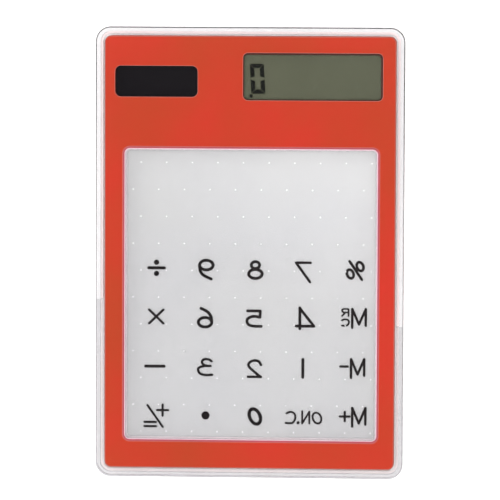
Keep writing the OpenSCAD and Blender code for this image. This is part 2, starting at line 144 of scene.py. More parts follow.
def opaque(name, c0, c1, rough=(0.4, 0.5), scale=900.0, bump=(0.15, 0.00002), coat=0.0, metallic=0.0, big=60.0, spec=0.5, y_fade=None):
    """Plain solid stuff with a fine grain and a slow drift of colour.
    A Y fade = (Y where it is darkest, Y where it is full, tone where darkest) makes the colour darker towards lower Y
    along the part."""
    k = Mat(name)
    fine = k.noise(scale, 4.0, 0.6)
    slow = k.noise(big, 2.0, 0.5)
    mix = k.node("ShaderNodeMath", operation="ADD")
    half = k.node("ShaderNodeMath", operation="MULTIPLY")
    half.inputs[1].default_value = 0.35
    k.link(fine, half.inputs[0])
    most = k.node("ShaderNodeMath", operation="MULTIPLY")
    most.inputs[1].default_value = 0.65
    k.link(slow, most.inputs[0])
    k.link(half.outputs[0], mix.inputs[0])
    k.link(most.outputs[0], mix.inputs[1])
    b = k.principled(Metallic=metallic, IOR=1.5, Coat_Weight=coat, Specular_IOR_Level=spec)
    tone = k.ramp(mix.outputs[0], [(0.3, c0), (0.7, c1)])
    if y_fade:
        at = k.node("ShaderNodeSeparateXYZ")
        k.link(k.obj(), at.inputs[0])
        mm = k.node("ShaderNodeMix", data_type="RGBA", blend_type="MULTIPLY")
        mm.inputs["Factor"].default_value = 1.0
        k.link(tone, mm.inputs[6])
        k.link(k.ramp(k.grey(at.outputs["Y"], 0.0, 1.0, y_fade[0], y_fade[1]), [(0.0, (y_fade[2],) * 3), (1.0, (1, 1, 1))]), mm.inputs[7])
        tone = mm.outputs[2]
    k.link(tone, b.inputs["Base Color"])
    k.link(k.grey(fine, rough[0], rough[1]), b.inputs["Roughness"])
    k.bump(fine, bump[0], bump[1], b)
    return k.done(b.outputs["BSDF"])


def clear(name, face, side, rough=0.03, ior=1.49, shade=0.985, low_end_tone=None, painted_light_fade=None):
    """Clear moulding: edges and walls are tinted a little greyer than flat faces, a painted shade for the light that
    runs along them.
    A low-end tone, when given, is the colour that darkens the faces between 3.0 and 4.6 mm up round the lower end of
    the case.
    A fade colour, when given, is what the edge drifts to towards the lower end: painted light that lifts the painted
    dark edge line there."""
    k = Mat(name)
    geo = k.node("ShaderNodeNewGeometry")
    sep = k.node("ShaderNodeSeparateXYZ")
    k.link(geo.outputs["Normal"], sep.inputs[0])
    ab = k.node("ShaderNodeMath", operation="ABSOLUTE")
    k.link(sep.outputs["Z"], ab.inputs[0])
    col = k.ramp(ab.outputs[0], [(0.15, side), (0.85, face)])
    slow = k.noise(35.0, 2.0, 0.5)
    mul = k.node("ShaderNodeMix", data_type="RGBA", blend_type="MULTIPLY")
    mul.inputs["Factor"].default_value = 1.0
    k.link(col, mul.inputs[6])
    k.link(k.ramp(slow, [(0.3, (0.985, 0.985, 0.99)), (0.7, (1, 1, 1))]), mul.inputs[7])
    tone = mul.outputs[2]
    if low_end_tone:
        at = k.node("ShaderNodeSeparateXYZ")
        k.link(k.obj(), at.inputs[0])

        def math2(op, a, b):
            n = k.node("ShaderNodeMath", operation=op)
            for i, v in enumerate((a, b)):
                if isinstance(v, (int, float)):
                    n.inputs[i].default_value = v
                elif v is not None:
                    k.link(v, n.inputs[i])
            return n.outputs[0]

        edge_y = math2("SUBTRACT", -0.016, math2("MULTIPLY", math2("SIGN", at.outputs["X"], None), 0.0034))
        low = math2("LESS_THAN", at.outputs["Y"], edge_y)
        mid = math2("MULTIPLY", math2("GREATER_THAN", at.outputs["Z"], 0.0030), math2("LESS_THAN", at.outputs["Z"], 0.0046))
        mask = math2("MULTIPLY", low, mid)
        wm = k.node("ShaderNodeMix", data_type="RGBA", blend_type="MULTIPLY")
        k.link(mask, wm.inputs["Factor"])
        k.link(tone, wm.inputs[6])
        wm.inputs[7].default_value = tuple(low_end_tone) + (1,)
        tone = wm.outputs[2]
    if painted_light_fade:
        pos = k.node("ShaderNodeSeparateXYZ")
        k.link(k.obj(), pos.inputs[0])
        along = k.grey(pos.outputs["Y"], 1.0, 0.0, -0.045, 0.045)
        we = k.node("ShaderNodeMix", data_type="RGBA", blend_type="MIX")
        k.link(along, we.inputs["Factor"])
        k.link(tone, we.inputs[6])
        we.inputs[7].default_value = tuple(painted_light_fade) + (1,)
        tone = we.outputs[2]
    b = k.principled(IOR=ior, Transmission_Weight=1.0)
    k.link(tone, b.inputs["Base Color"])
    k.link(k.grey(k.noise(140.0, 3.0, 0.6), rough * 0.6, rough * 1.5), b.inputs["Roughness"])
    lp = k.node("ShaderNodeLightPath")
    tr = k.node("ShaderNodeBsdfTransparent")
    tr.inputs["Color"].default_value = (shade, shade, shade, 1)
    mx = k.node("ShaderNodeMixShader")
    k.link(lp.outputs["Is Shadow Ray"], mx.inputs[0])
    k.link(b.outputs["BSDF"], mx.inputs[1])
    k.link(tr.outputs["BSDF"], mx.inputs[2])
    return k.done(mx.outputs[0])


def veil(name, colour, share, rough=0.3, grain=1500.0, tint=(1, 1, 1), drift=None, painted_light_slope=None):
    """Film that shows part of what lies behind it and scatters the rest: share is how much it hides.
    The light slope = (per metre along X, along Y, lowest, highest) is painted light and shade: the film's tone changes
    slowly over the film, lighter towards the top and right."""
    k = Mat(name)
    fine = k.noise(grain, 3.0, 0.6)
    c0 = tuple(v * 0.96 for v in colour)
    col = k.ramp(fine, [(0.3, c0), (0.7, colour)])
    if painted_light_slope:
        at = k.node("ShaderNodeSeparateXYZ")
        k.link(k.obj(), at.inputs[0])
        mx = k.node("ShaderNodeMath", operation="MULTIPLY_ADD")
        k.link(at.outputs["X"], mx.inputs[0])
        mx.inputs[1].default_value = painted_light_slope[0]
        mx.inputs[2].default_value = 0.5
        my = k.node("ShaderNodeMath", operation="MULTIPLY_ADD")
        k.link(at.outputs["Y"], my.inputs[0])
        my.inputs[1].default_value = painted_light_slope[1]
        k.link(mx.outputs[0], my.inputs[2])
        lo, hi = painted_light_slope[2], painted_light_slope[3]
        tone = k.ramp(my.outputs[0], [(0.0, (lo, lo, lo)), (0.45, (lo + 0.03, lo + 0.03, lo + 0.03)), (1.0, (hi, hi, hi))])
        mm = k.node("ShaderNodeMix", data_type="RGBA", blend_type="MULTIPLY")
        mm.inputs["Factor"].default_value = 1.0
        k.link(col, mm.inputs[6])
        k.link(tone, mm.inputs[7])
        col = mm.outputs[2]
    b = k.principled(IOR=1.5, Roughness=rough)
    k.link(col, b.inputs["Base Color"])
    k.bump(fine, 0.05, 0.00001, b)
    tr = k.node("ShaderNodeBsdfTransparent")
    tr.inputs["Color"].default_value = tuple(tint) + (1,)
    mx = k.node("ShaderNodeMixShader")
    if drift is None:
        mx.inputs[0].default_value = share
    else:
        k.link(k.grey(k.noise(drift, 2.0, 0.5), share - 0.03, share + 0.03), mx.inputs[0])
    k.link(tr.outputs["BSDF"], mx.inputs[1])
    k.link(b.outputs["BSDF"], mx.inputs[2])
    return k.done(mx.outputs[0])


def paint(obj, mat):
    obj.data.materials.clear()
    obj.data.materials.append(mat)
    return obj


# ------------------------------------------------------------------ mesh helpers
def rr(w, h, r, z, cx=0.0, cy=0.0, n=10):
    """Rounded rectangle as a loop of points, in millimetres."""
    r = max(r, 0.02)
    pts = []
    for sx, sy, a0 in ((1, 1, 0), (-1, 1, 90), (-1, -1, 180), (1, -1, 270)):
        for i in range(n + 1):
            a = math.radians(a0 + 90.0 * i / n)
            pts.append((cx + sx * (w / 2 - r) + r * math.cos(a), cy + sy * (h / 2 - r) + r * math.sin(a), z))
    return pts


def circle(r, z, cx, cy, n=40):
    return [(cx + r * math.cos(2 * math.pi * i / n), cy + r * math.sin(2 * math.pi * i / n), z) for i in range(n)]


class Build:
    """Closed meshes from chains of loops and filled flat faces."""

    def __init__(self):
        self.bm = bmesh.new()

    def loop(self, pts):
        return [self.bm.verts.new(Vector(p) * MM) for p in pts]

    def skin(self, a, b):
        n = len(a)
        for i in range(n):
            self.bm.faces.new((a[i], a[(i + 1) % n], b[(i + 1) % n], b[i]))

    def chain(self, loops, ring=False):
        vs = [self.loop(p) for p in loops]
        for a, b in zip(vs, vs[1:]):
            self.skin(a, b)
        if ring:
            self.skin(vs[-1], vs[0])
        return vs[0], vs[-1]

    def cap(self, vs):
        self.bm.faces.new(vs)

    def fill(self, loops):
        """A flat face bounded by the first loop, with the others as holes."""
        edges = []
        for vs in loops:
            n = len(vs)
            for i in range(n):
                e = self.bm.edges.get((vs[i], vs[(i + 1) % n]))
                if e is None:
                    e = self.bm.edges.new((vs[i], vs[(i + 1) % n]))
                edges.append(e)
        bmesh.ops.triangle_fill(self.bm, use_beauty=True, use_dissolve=False, edges=edges)

    def finish(self, name, mat, smooth=35.0):
        bmesh.ops.remove_doubles(self.bm, verts=self.bm.verts, dist=1e-7)
        bmesh.ops.recalc_face_normals(self.bm, faces=self.bm.faces)
        me = bpy.data.meshes.new(name)
        self.bm.to_mesh(me)
        self.bm.free()
        ob = bpy.data.objects.new(name, me)
        scene.collection.objects.link(ob)
        me.materials.append(mat)
        return shade(ob, smooth)


def shade(ob, angle=35.0):
    """Smooth shading that keeps big flat faces flat."""
    for p in ob.data.polygons:
        p.use_smooth = True
    ob.data.set_sharp_from_angle(angle=math.radians(angle))
    m = ob.modifiers.new("weighted", "WEIGHTED_NORMAL")
    m.mode = "FACE_AREA"
    m.weight = 100
    m.keep_sharp = True
    return ob


def boolean(a, b, op="UNION"):
    a.modifiers.clear()
    b.modifiers.clear()
    m = a.modifiers.new("join", "BOOLEAN")
    m.operation = op
    m.solver = "EXACT"
    m.object = b
    dg = bpy.context.evaluated_depsgraph_get()
    me = bpy.data.meshes.new_from_object(a.evaluated_get(dg))
    a.modifiers.clear()
    old = a.data
    a.data = me
    bpy.data.meshes.remove(old)
    bpy.data.objects.remove(b)
    return shade(a, 30)


def fillet(w, h, r, z, rad, up, steps=6, cx=0.0, cy=0.0, n=10):
    """Loops that round an outer edge, from the wall (inset 0) to the flat face (inset rad). up is +1 for a top edge."""
    out = []
    for i in range(steps + 1):
        a = math.pi / 2 * i / steps
        ins = rad * (1 - math.cos(a))
        out.append(rr(w - 2 * ins, h - 2 * ins, r - ins, z + up * rad * (math.sin(a) - 1), cx, cy, n))
    return out


# sizes of the frame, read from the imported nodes
def size_of(node):
    lo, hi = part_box(node)
    return [v / MM for v in lo], [v / MM for v in hi]


(case_lo, case_hi), (fc_lo, fc_hi) = size_of("rear_cover"), size_of("front_cover")
W, L, T = case_hi[0] - case_lo[0], case_hi[1] - case_lo[1], case_hi[2]
rf_lo, rf_hi = size_of("rear_frame")
ff_lo, ff_hi = size_of("front_frame")
FW, FL = rf_hi[0] - rf_lo[0], rf_hi[1] - rf_lo[1]
EDGE_R = 0.5                                 # radius on the rear cover's outer edges
FOOT_R = 0.1                                 # radius on the front cover's outer edges
COVER, PLATE, WALL, PART, CR = T - rf_hi[2], 0.6, 1.2, 3.2, 4.0
REAR_Z, TRAY_Z = rf_hi[2], ff_lo[2] + 0.6
PLATE_Z = REAR_Z - PLATE
AIR = 0.03                                   # air left between faces that rest on each other
KEY = dict(w=68.2, h=78.7, r=1.9, cx=0.3, cy=-11.15)
LCD = dict(w=37.0, h=12.5, r=1.3, cx=16.6, cy=46.85)
SOL = dict(w=21.9, h=8.2, r=1.5, cx=-24.9, cy=45.5)

# ------------------------------------------------------------------ looks
case_mat = clear("clear_acrylic", (0.995, 0.995, 0.995), (0.96, 0.965, 0.97), rough=0.01, ior=1.49)
front_case_mat = clear("clear_acrylic_front", (0.995, 0.995, 0.995), (0.96, 0.965, 0.97), rough=0.01, ior=1.49, low_end_tone=(0.64, 0.635, 0.65))
# The pink tints of the lips' end faces are a painted reflection of the red frame through the clear wall; the lower
# lip's tint is darker as well, painted shade.
lip_red_reflection_mat = clear("clear_acrylic_lip", (0.975, 0.74, 0.73), (0.96, 0.965, 0.97), rough=0.01, ior=1.49)
lip_low_red_reflection_mat = clear("clear_acrylic_lip_lower", (0.7, 0.57, 0.57), (0.96, 0.965, 0.97), rough=0.01, ior=1.49)
joint_mat = clear("clear_acrylic_joint", (0.77, 0.755, 0.765), (0.77, 0.755, 0.765), rough=0.01, ior=1.49)
# The near-black tint of the rear cover's rounded top edge is painted shade, the thin dark outline round the case; it
# fades lighter towards the lower end as painted light.
case_edge_shade_mat = clear("clear_acrylic_edge_painted_shade", (0.05, 0.05, 0.052), (0.07, 0.07, 0.072), rough=0.01, ior=1.49, painted_light_fade=(0.55, 0.55, 0.56))
glass_mat = clear("touch_glass_mat", (0.97, 0.98, 0.98), (0.70, 0.78, 0.76), rough=0.01, ior=1.52)
block_mat = clear("block_mat", (0.985, 0.985, 0.99), (0.9, 0.9, 0.92), rough=0.01, ior=1.49)
lcdglass_mat = clear("lcd_glass_mat", (0.96, 0.97, 0.96), (0.62, 0.72, 0.66), rough=0.01, ior=1.52)

# The film's tone slope is painted light and shade: lighter towards the top and right of the keypad, darker towards the
# lower left.
film_mat = veil("film_mat", (0.99, 0.975, 0.975), 0.44, rough=0.35, grain=900.0, drift=30.0, painted_light_slope=(8.0, 13.0, 0.83, 1.0))
rear_pol_mat = veil("rear_polariser_mat", (0.05, 0.051, 0.045), 0.04, rough=0.12, grain=700.0, tint=(0.90, 0.91, 0.88))
bead_mat = opaque("bead_mat", (0.34, 0.06, 0.08), (0.42, 0.085, 0.11), rough=(0.3, 0.45), scale=900.0)

red_mat = opaque("red_moulding", (0.375, 0.047, 0.014), (0.50, 0.029, 0.018), rough=(0.42, 0.55), scale=1500.0,
                 bump=(0.12, 0.00002), big=38.0, spec=0.3)
# The lighter red on the chamfers round the windows is a painted highlight.
window_edge_highlight_mat = opaque("red_window_edge_painted_highlight", (0.50, 0.15, 0.12), (0.56, 0.19, 0.15), rough=(0.3, 0.45), scale=1500.0, bump=(0.12, 0.00002))
# The darker red on the frame's outer chamfer is painted shade.
edge_mat = opaque("red_edge", (0.36, 0.085, 0.062), (0.42, 0.10, 0.075), rough=(0.45, 0.6), scale=1500.0, bump=(0.12, 0.00002))
# The LCD cushion is black foam; its dark red-brown tint, where it shows at the LCD window's edges, is painted shade.
lcd_foam_and_painted_shade_mat = opaque("lcd_foam_and_painted_shade_mat", (0.05, 0.020, 0.016), (0.08, 0.033, 0.027), rough=(0.85, 1.0), scale=3000.0, bump=(0.6, 0.00008))
foam_mat = opaque("foam_mat", (0.02, 0.02, 0.021), (0.045, 0.045, 0.047), rough=(0.85, 1.0), scale=3000.0, bump=(0.6, 0.00008))
pale_foam_mat = opaque("pale_foam_mat", (0.74, 0.72, 0.70), (0.82, 0.80, 0.78), rough=(0.85, 1.0), scale=3000.0, bump=(0.6, 0.00008))
# The pale pink of the keypad window's inner walls is painted light that lifts the shade along the window's edges.
window_wall_light_mat = opaque("window_wall_painted_light_mat", (0.80, 0.55, 0.60), (0.86, 0.62, 0.67), rough=(0.4, 0.55), scale=1200.0)
gasket_mat = opaque("gasket_mat", (0.93, 0.80, 0.83), (0.96, 0.85, 0.88), rough=(0.35, 0.5), scale=1200.0)
# The pinkish white on the window block's bevel is a painted highlight.
bevel_highlight_mat = opaque("block_bevel_painted_highlight_mat", (0.93, 0.74, 0.82), (0.97, 0.80, 0.87), rough=(0.4, 0.55), scale=1800.0)
ink_mat = opaque("ink_mat", (0.008, 0.006, 0.006), (0.02, 0.015, 0.015), rough=(0.4, 0.6), scale=2500.0)
dot_mat = opaque("dot_mat", (0.96, 0.95, 0.95), (0.99, 0.98, 0.98), rough=(0.2, 0.3), scale=2500.0, y_fade=(-0.002, 0.008, 0.76))
silver_mat = opaque("silver_print_mat", (0.5, 0.5, 0.5), (0.62, 0.62, 0.63), rough=(0.35, 0.5), metallic=0.9, scale=2000.0)
flex_mat = opaque("flex_mat", (0.45, 0.19, 0.03), (0.55, 0.25, 0.05), rough=(0.25, 0.35), coat=0.3)
pol_mat = opaque("polariser_mat", (0.225, 0.220, 0.168), (0.25, 0.246, 0.19), rough=(0.2, 0.3), scale=800.0, bump=(0.05, 0.00001))
crystal_mat = opaque("crystal_mat", (0.004, 0.004, 0.004), (0.007, 0.007, 0.007), rough=(0.4, 0.5))
seal_mat = opaque("seal_mat", (0.35, 0.35, 0.28), (0.42, 0.42, 0.34), rough=(0.4, 0.6))
zebra_mat = opaque("zebra_mat", (0.5, 0.2, 0.25), (0.6, 0.28, 0.33), rough=(0.6, 0.7))
board_mat = opaque("board_mat", (0.01, 0.08, 0.03), (0.02, 0.12, 0.045), rough=(0.25, 0.4), coat=0.4)
epoxy_mat = opaque("epoxy_mat", (0.008, 0.008, 0.008), (0.016, 0.016, 0.016), rough=(0.2, 0.35))
cap_mat = opaque("cap_mat", (0.42, 0.25, 0.05), (0.5, 0.3, 0.07), rough=(0.4, 0.5))
diode_mat = opaque("diode_mat", (0.6, 0.1, 0.05), (0.7, 0.14, 0.07), rough=(0.1, 0.2), coat=0.5)
res_mat = opaque("resistor_mat", (0.015, 0.015, 0.017), (0.03, 0.03, 0.033), rough=(0.3, 0.5))
tape_mat = opaque("tape_mat", (0.7, 0.7, 0.66), (0.78, 0.78, 0.74), rough=(0.7, 0.85), scale=2200.0)
solglass_mat = clear("solar_glass_mat", (0.5, 0.5, 0.52), (0.3, 0.34, 0.33), rough=0.01, ior=1.52, shade=0.6)
strip_mat = opaque("silicon_mat", (0.03, 0.014, 0.018), (0.045, 0.02, 0.026), rough=(0.15, 0.25))
coat_mat = opaque("solar_coat_mat", (0.006, 0.005, 0.0065), (0.008, 0.007, 0.008), rough=(0.06, 0.1), scale=600.0, bump=(0.02, 0.00001))
copper_mat = opaque("copper_mat", (0.6, 0.33, 0.2), (0.7, 0.42, 0.27), rough=(0.25, 0.4), metallic=1.0)
solder_mat = opaque("solder_mat", (0.55, 0.56, 0.57), (0.68, 0.69, 0.7), rough=(0.2, 0.35), metallic=1.0)

for n, m in {
    "touch_silver_bars": silver_mat, "touch_tail": flex_mat, "key_legends": ink_mat, "lcd_front_polariser": pol_mat,
    "lcd_segments": crystal_mat, "lcd_seal": seal_mat, "zebra_strip": zebra_mat, "circuit_board": board_mat,
    "chip_blob": epoxy_mat, "storage_capacitor": cap_mat, "clamp_diode": diode_mat, "chip_resistors": res_mat,
    "board_tape": tape_mat, "solar_strips": strip_mat, "solar_backing": coat_mat, "solar_leads": copper_mat,
    "solder_joints": solder_mat, "touch_film": film_mat, "touch_gasket": gasket_mat,
    "touch_cushion": pale_foam_mat, "lcd_front_tape": foam_mat, "lcd_cushion": lcd_foam_and_painted_shade_mat, "solar_tape": foam_mat,
    "solar_cushion": foam_mat,
    "window_bead": bead_mat,
}.items():
    paint(nodes[n], m)


# ------------------------------------------------------------------ clear covers
def lip_section(sgn, z_far, z_part, z_root):
    """Cross-section of a lip: (inset from the side wall's inner face, z). It runs past the parting line to z_far."""
    c = 0.03
    s = 1 if z_root > z_far else -1
    return [(0.85, z_root), (0.85, z_far + s * c), (0.85 - c, z_far), (0.05 + c, z_far), (0.05, z_far + s * c),
            (0.05, z_part + s * 0.02), (-0.03, z_part + s * 0.02), (-0.03, z_root)]


def lip_path(left_y, right_y, lower, n=8):
    """Unit path round one end of the case: (corner centre or straight point, direction), as (x, y, nx, ny)."""
    w, h, r = W / 2 - WALL, L / 2 - WALL, CR - WALL
    e = -1 if lower else 1
    pts = [(-w, left_y, -1, 0)]
    y1 = e * (h - r)
    pts.append((-w, (left_y + y1) / 2, -1, 0))
    for i in range(n + 1):
        a = math.pi / 2 * i / n
        nx, ny = -math.cos(a), e * math.sin(a)
        pts.append((-(w - r) + r * nx, y1 + r * ny, nx, ny))
    for i in range(n + 1):
        a = math.pi / 2 * i / n
        nx, ny = math.sin(a), e * math.cos(a)
        pts.append(((w - r) + r * nx, y1 + r * ny, nx, ny))
    pts.append((w, (right_y + y1) / 2, 1, 0))
    pts.append((w, right_y, 1, 0))
    return pts


def lip(left_y, right_y, lower, section, name):
    b = Build()
    loops = []
    for x, y, nx, ny in lip_path(left_y, right_y, lower):
        loops.append([(x - nx * ins, y - ny * ins, z) for ins, z in section])
    first, last = b.chain(loops)
    b.cap(first)
    b.cap(last)
    return b.finish(name, case_mat)


def cover_rear():
    b = Build()
    iw, ih, ir = W - 2 * WALL, L - 2 * WALL, CR - WALL
    loops = [rr(iw - 0.04, ih - 0.04, ir - 0.02, REAR_Z), rr(iw, ih, ir, REAR_Z - 0.02), rr(iw, ih, ir, PART + 0.015),
             rr(W - 0.06, L - 0.06, CR - 0.03, PART + 0.015), rr(W, L, CR, PART + 0.045)]
    loops += fillet(W, L, CR, T, EDGE_R, 1)
    first, last = b.chain(loops)
    b.cap(first)
    b.cap(last)
    ob = b.finish("rear_cover_shell", case_mat, 30)
    sec = lip_section(1, PART - 1.2, PART, REAR_Z + 0.03)
    ob = boolean(ob, lip(-12.45, -19.25, False, sec, "lip_a"))
    ob.data.materials.append(case_edge_shade_mat)
    ob.data.materials.append(joint_mat)
    ob.data.materials.append(lip_red_reflection_mat)
    # Faces by place: the rounded top edge takes the dark painted-shade outline, the parting faces the joint tint, and
    # the upper lip's end face the pink painted reflection of the red frame.
    for p in ob.data.polygons:
        if p.center.z > (T - EDGE_R) * MM and 0.05 < p.normal.z < 0.985:
            p.material_index = 1
        elif abs(p.center.z - (PART + 0.015) * MM) < 2e-6 and p.normal.z < -0.9:
            p.material_index = 2
        elif abs(p.center.z - (PART - 1.2) * MM) < 2e-6 and p.normal.z < -0.9:
            p.material_index = 3
    return ob


def cover_front():
    b = Build()
    iw, ih, ir = W - 2 * WALL, L - 2 * WALL, CR - WALL
    k = KEY
    kw, kh, kr = k["w"] + 0.6, k["h"] + 0.6, k["r"] + 0.3
    loops = [rr(kw, kh, kr, COVER, k["cx"], k["cy"])]
    loops += [rr(kw, kh, kr, 0.35, k["cx"], k["cy"]), rr(kw + 0.1, kh + 0.1, kr + 0.05, 0.15, k["cx"], k["cy"]),
              rr(kw + 0.35, kh + 0.35, kr + 0.17, 0.04, k["cx"], k["cy"]), rr(kw + 0.7, kh + 0.7, kr + 0.35, 0.0, k["cx"], k["cy"])]
    loops += list(reversed(fillet(W, L, CR, 0.0, FOOT_R, -1)))
    loops += [rr(W, L, CR, PART - 0.045), rr(W - 0.06, L - 0.06, CR - 0.03, PART - 0.015), rr(iw, ih, ir, PART - 0.015),
              rr(iw, ih, ir, COVER + 0.02), rr(iw - 0.04, ih - 0.04, ir - 0.02, COVER)]
    b.chain(loops, ring=True)
    ob = b.finish("front_cover_shell", case_mat, 30)
    sec = lip_section(1, PART + 1.2, PART, COVER - 0.03)
    ob = paint(boolean(ob, lip(-12.75, -19.55, True, sec, "lip_b")), front_case_mat)
    ob.data.materials.append(lip_low_red_reflection_mat)
    # The lower lip's top face takes the darker pink tint: a painted reflection of the red frame, with painted shade.
    for p in ob.data.polygons:
        p.material_index = 1 if abs(p.center.z - (PART + 1.2) * MM) < 2e-6 and p.normal.z > 0.9 else 0
    return ob


for ob, node in ((cover_rear(), "rear_cover"), (cover_front(), "front_cover")):
    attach(ob, "root")
    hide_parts(node)


# ------------------------------------------------------------------ red frame
PEGS = [(-32, -54.5), (0, -54.5), (32, -54.5), (-34, 54), (-8, 46)]


def grow(o, d, z, n=10):
    return rr(o["w"] + 2 * d, o["h"] + 2 * d, o["r"] + d, z, o["cx"], o["cy"], n)


def frame_rear():
    b = Build()
    c = 0.12
    top_z = REAR_Z - AIR
    outer = [rr(FW - 0.6, FL - 0.6, 1.5, top_z), rr(FW - 0.26, FL - 0.26, 1.67, top_z - 0.05),
             rr(FW, FL, 1.8, top_z - 0.2), rr(FW, FL, 1.8, PLATE_Z + 0.05), rr(FW - 0.1, FL - 0.1, 1.75, PLATE_Z)]
    top, low = b.chain(outer)
    tops, lows = [top], [low]
    for o, foot in ((KEY, 3.25), (LCD, 4.15), (SOL, 3.54)):
        t, u = b.chain([grow(o, c, top_z), grow(o, 0.035, top_z - 0.035), grow(o, 0, top_z - c), grow(o, 0, foot + 0.06),
                        grow(o, 0.06, foot), grow(o, 0.74, foot), grow(o, 0.8, foot + 0.06), grow(o, 0.8, PLATE_Z)])
        tops.append(t)
        lows.append(u)
    for x, y in PEGS:
        t, u = b.chain([circle(0.6, PLATE_Z, x, y, 24), circle(0.6, 3.35, x, y, 24), circle(0.45, 3.2, x, y, 24)])
        lows.append(t)
        b.cap(u)
    b.fill(tops)
    b.fill(lows)
    ob = b.finish("rear_frame_moulding", red_mat)
    ob.data.materials.append(edge_mat)
    ob.data.materials.append(window_edge_highlight_mat)
    ob.data.materials.append(window_wall_light_mat)
    for p in ob.data.polygons:
        # Faces by place: the outer chamfer darker red, painted shade; the window chamfers lighter red, a painted
        # highlight; the keypad window's inner walls pale pink, painted light.
        x, y, z = p.center / MM
        if z > top_z - 0.21 and 0.1 < p.normal.z < 0.995:
            p.material_index = 1 if max(abs(x) - FW / 2, abs(y) - FL / 2) > -0.9 else 2
        inside = abs(x - KEY["cx"]) < KEY["w"] / 2 + 0.01 and abs(y - KEY["cy"]) < KEY["h"] / 2 + 0.01
        if inside and abs(p.normal.z) < 0.1 and z < top_z - 0.2:
            p.material_index = 3
    return ob


def frame_front():
    b = Build()
    c = 0.1
    z0 = COVER + AIR
    outer = [rr(FW - 2 * c, FL - 2 * c, 1.8 - c, z0), rr(FW, FL, 1.8, z0 + c), rr(FW, FL, 1.8, PLATE_Z - 0.05),
             rr(FW - 0.1, FL - 0.1, 1.75, PLATE_Z), rr(FW - 1.5, FL - 1.5, 1.05, PLATE_Z), rr(FW - 1.6, FL - 1.6, 1.0, PLATE_Z - 0.05),
             rr(FW - 1.6, FL - 1.6, 1.0, TRAY_Z)]
    low, top = b.chain(outer)
    lows, tops = [low], [top]
    for o in (KEY, LCD, SOL):
        u, t = b.chain([grow(o, c, z0), grow(o, 0.03, z0 + 0.03), grow(o, 0, z0 + c), grow(o, 0, TRAY_Z)])
        lows.append(u)
        tops.append(t)
    for x, y in PEGS:
        u, t = b.chain([circle(1.3, TRAY_Z, x, y, 32), circle(1.3, PLATE_Z - 0.1, x, y, 32), circle(1.2, PLATE_Z, x, y, 32),
                        circle(0.75, PLATE_Z, x, y, 32), circle(0.63, PLATE_Z - 0.12, x, y, 32), circle(0.63, 3.0, x, y, 32)])
        tops.append(u)
        b.cap(t)
    stops = [(0.3 + s * 36.3, y + 4, 0.8, 8) for s in (-1, 1) for y in (-30, 14)]
    stops += [(x + 4, -11.15 - 41.05 - 0.5, 8, 0.8) for x in (-22, 16)]
    for x, y, w, h in stops:
        u, t = b.chain([rr(w, h, 0.2, TRAY_Z, x, y, 3), rr(w, h, 0.2, TRAY_Z + 1.1, x, y, 3), rr(w - 0.2, h - 0.2, 0.12, TRAY_Z + 1.2, x, y, 3)])
        tops.append(u)
        b.cap(t)
    b.fill(lows)
    b.fill(tops)
    return b.finish("front_frame_moulding", red_mat)


for ob, node in ((frame_rear(), "rear_frame"), (frame_front(), "front_frame")):
    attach(ob, "root")
    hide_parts(node)

# ------------------------------------------------------------------ glass parts, with eased edges
def slab(name, mat, x0, x1, y0, y1, z0, z1, r=0.1, e=0.08, edge=None):
    """Flat plate with rounded corners and eased edges. edge gives the width of a wider bevel on the upper face."""
    b = Build()
    w, h, cx, cy = x1 - x0, y1 - y0, (x0 + x1) / 2, (y0 + y1) / 2
    eu = edge or e
    loops = [rr(w - 2 * e, h - 2 * e, r - e, z0, cx, cy, 6), rr(w, h, r, z0 + e, cx, cy, 6), rr(w, h, r, z1 - eu, cx, cy, 6),
             rr(w - 2 * eu, h - 2 * eu, max(r - eu, 0.05), z1, cx, cy, 6)]
    first, last = b.chain(loops)
    b.cap(first)
    b.cap(last)
    return b.finish(name, mat, 25)


def stands_for(ob, node):
    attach(ob, "root")
    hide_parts(node)
    return ob


def around(node, air=0.012):
    lo, hi = size_of(node)
    return lo[0], hi[0], lo[1], hi[1], lo[2] + air, hi[2] - air


x0, x1, y0, y1, z0, z1 = around("touch_glass_base", 0.035)
stands_for(slab("touch_glass_plate", glass_mat, x0, x1, y0, y1, z0, z1, 1.2, 0.12), "touch_glass_base")
for node in ("lcd_front_glass", "lcd_rear_glass"):
    x0, x1, y0, y1, z0, z1 = around(node, 0.035)
    stands_for(slab(node + "_plate", lcdglass_mat, x0, x1, y0, y1, z0, z1, 0.12, 0.06), node)
x0, x1, y0, y1, z0, z1 = around("lcd_rear_polariser", 0.035)
stands_for(slab("lcd_rear_polariser_sheet", rear_pol_mat, x0, x1, y0, y1, z0, z1, 0.12, 0.03), "lcd_rear_polariser")

x0, x1, y0, y1, z0, z1 = around("solar_glass", 0.03)
stands_for(slab("solar_glass_plate", solglass_mat, x0, x1, y0, y1, z0, z1, 0.12, 0.06), "solar_glass")

# spacer dots: low domes printed on the film side of the glass
def domes(name, mat, spots, z, r, h, steps=4, n=12):
    b = Build()
    for x, y in spots:
        loops = [circle(r * math.cos(math.pi / 2 * i / steps), z - h * math.sin(math.pi / 2 * i / steps), x, y, n) for i in range(steps)]
        first, last = b.chain(loops)
        b.cap(first)
        tip = b.bm.verts.new(Vector((x, y, z - h)) * MM)
        for i in range(n):
            b.bm.faces.new((last[i], last[(i + 1) % n], tip))
    return b.finish(name, mat, 40)


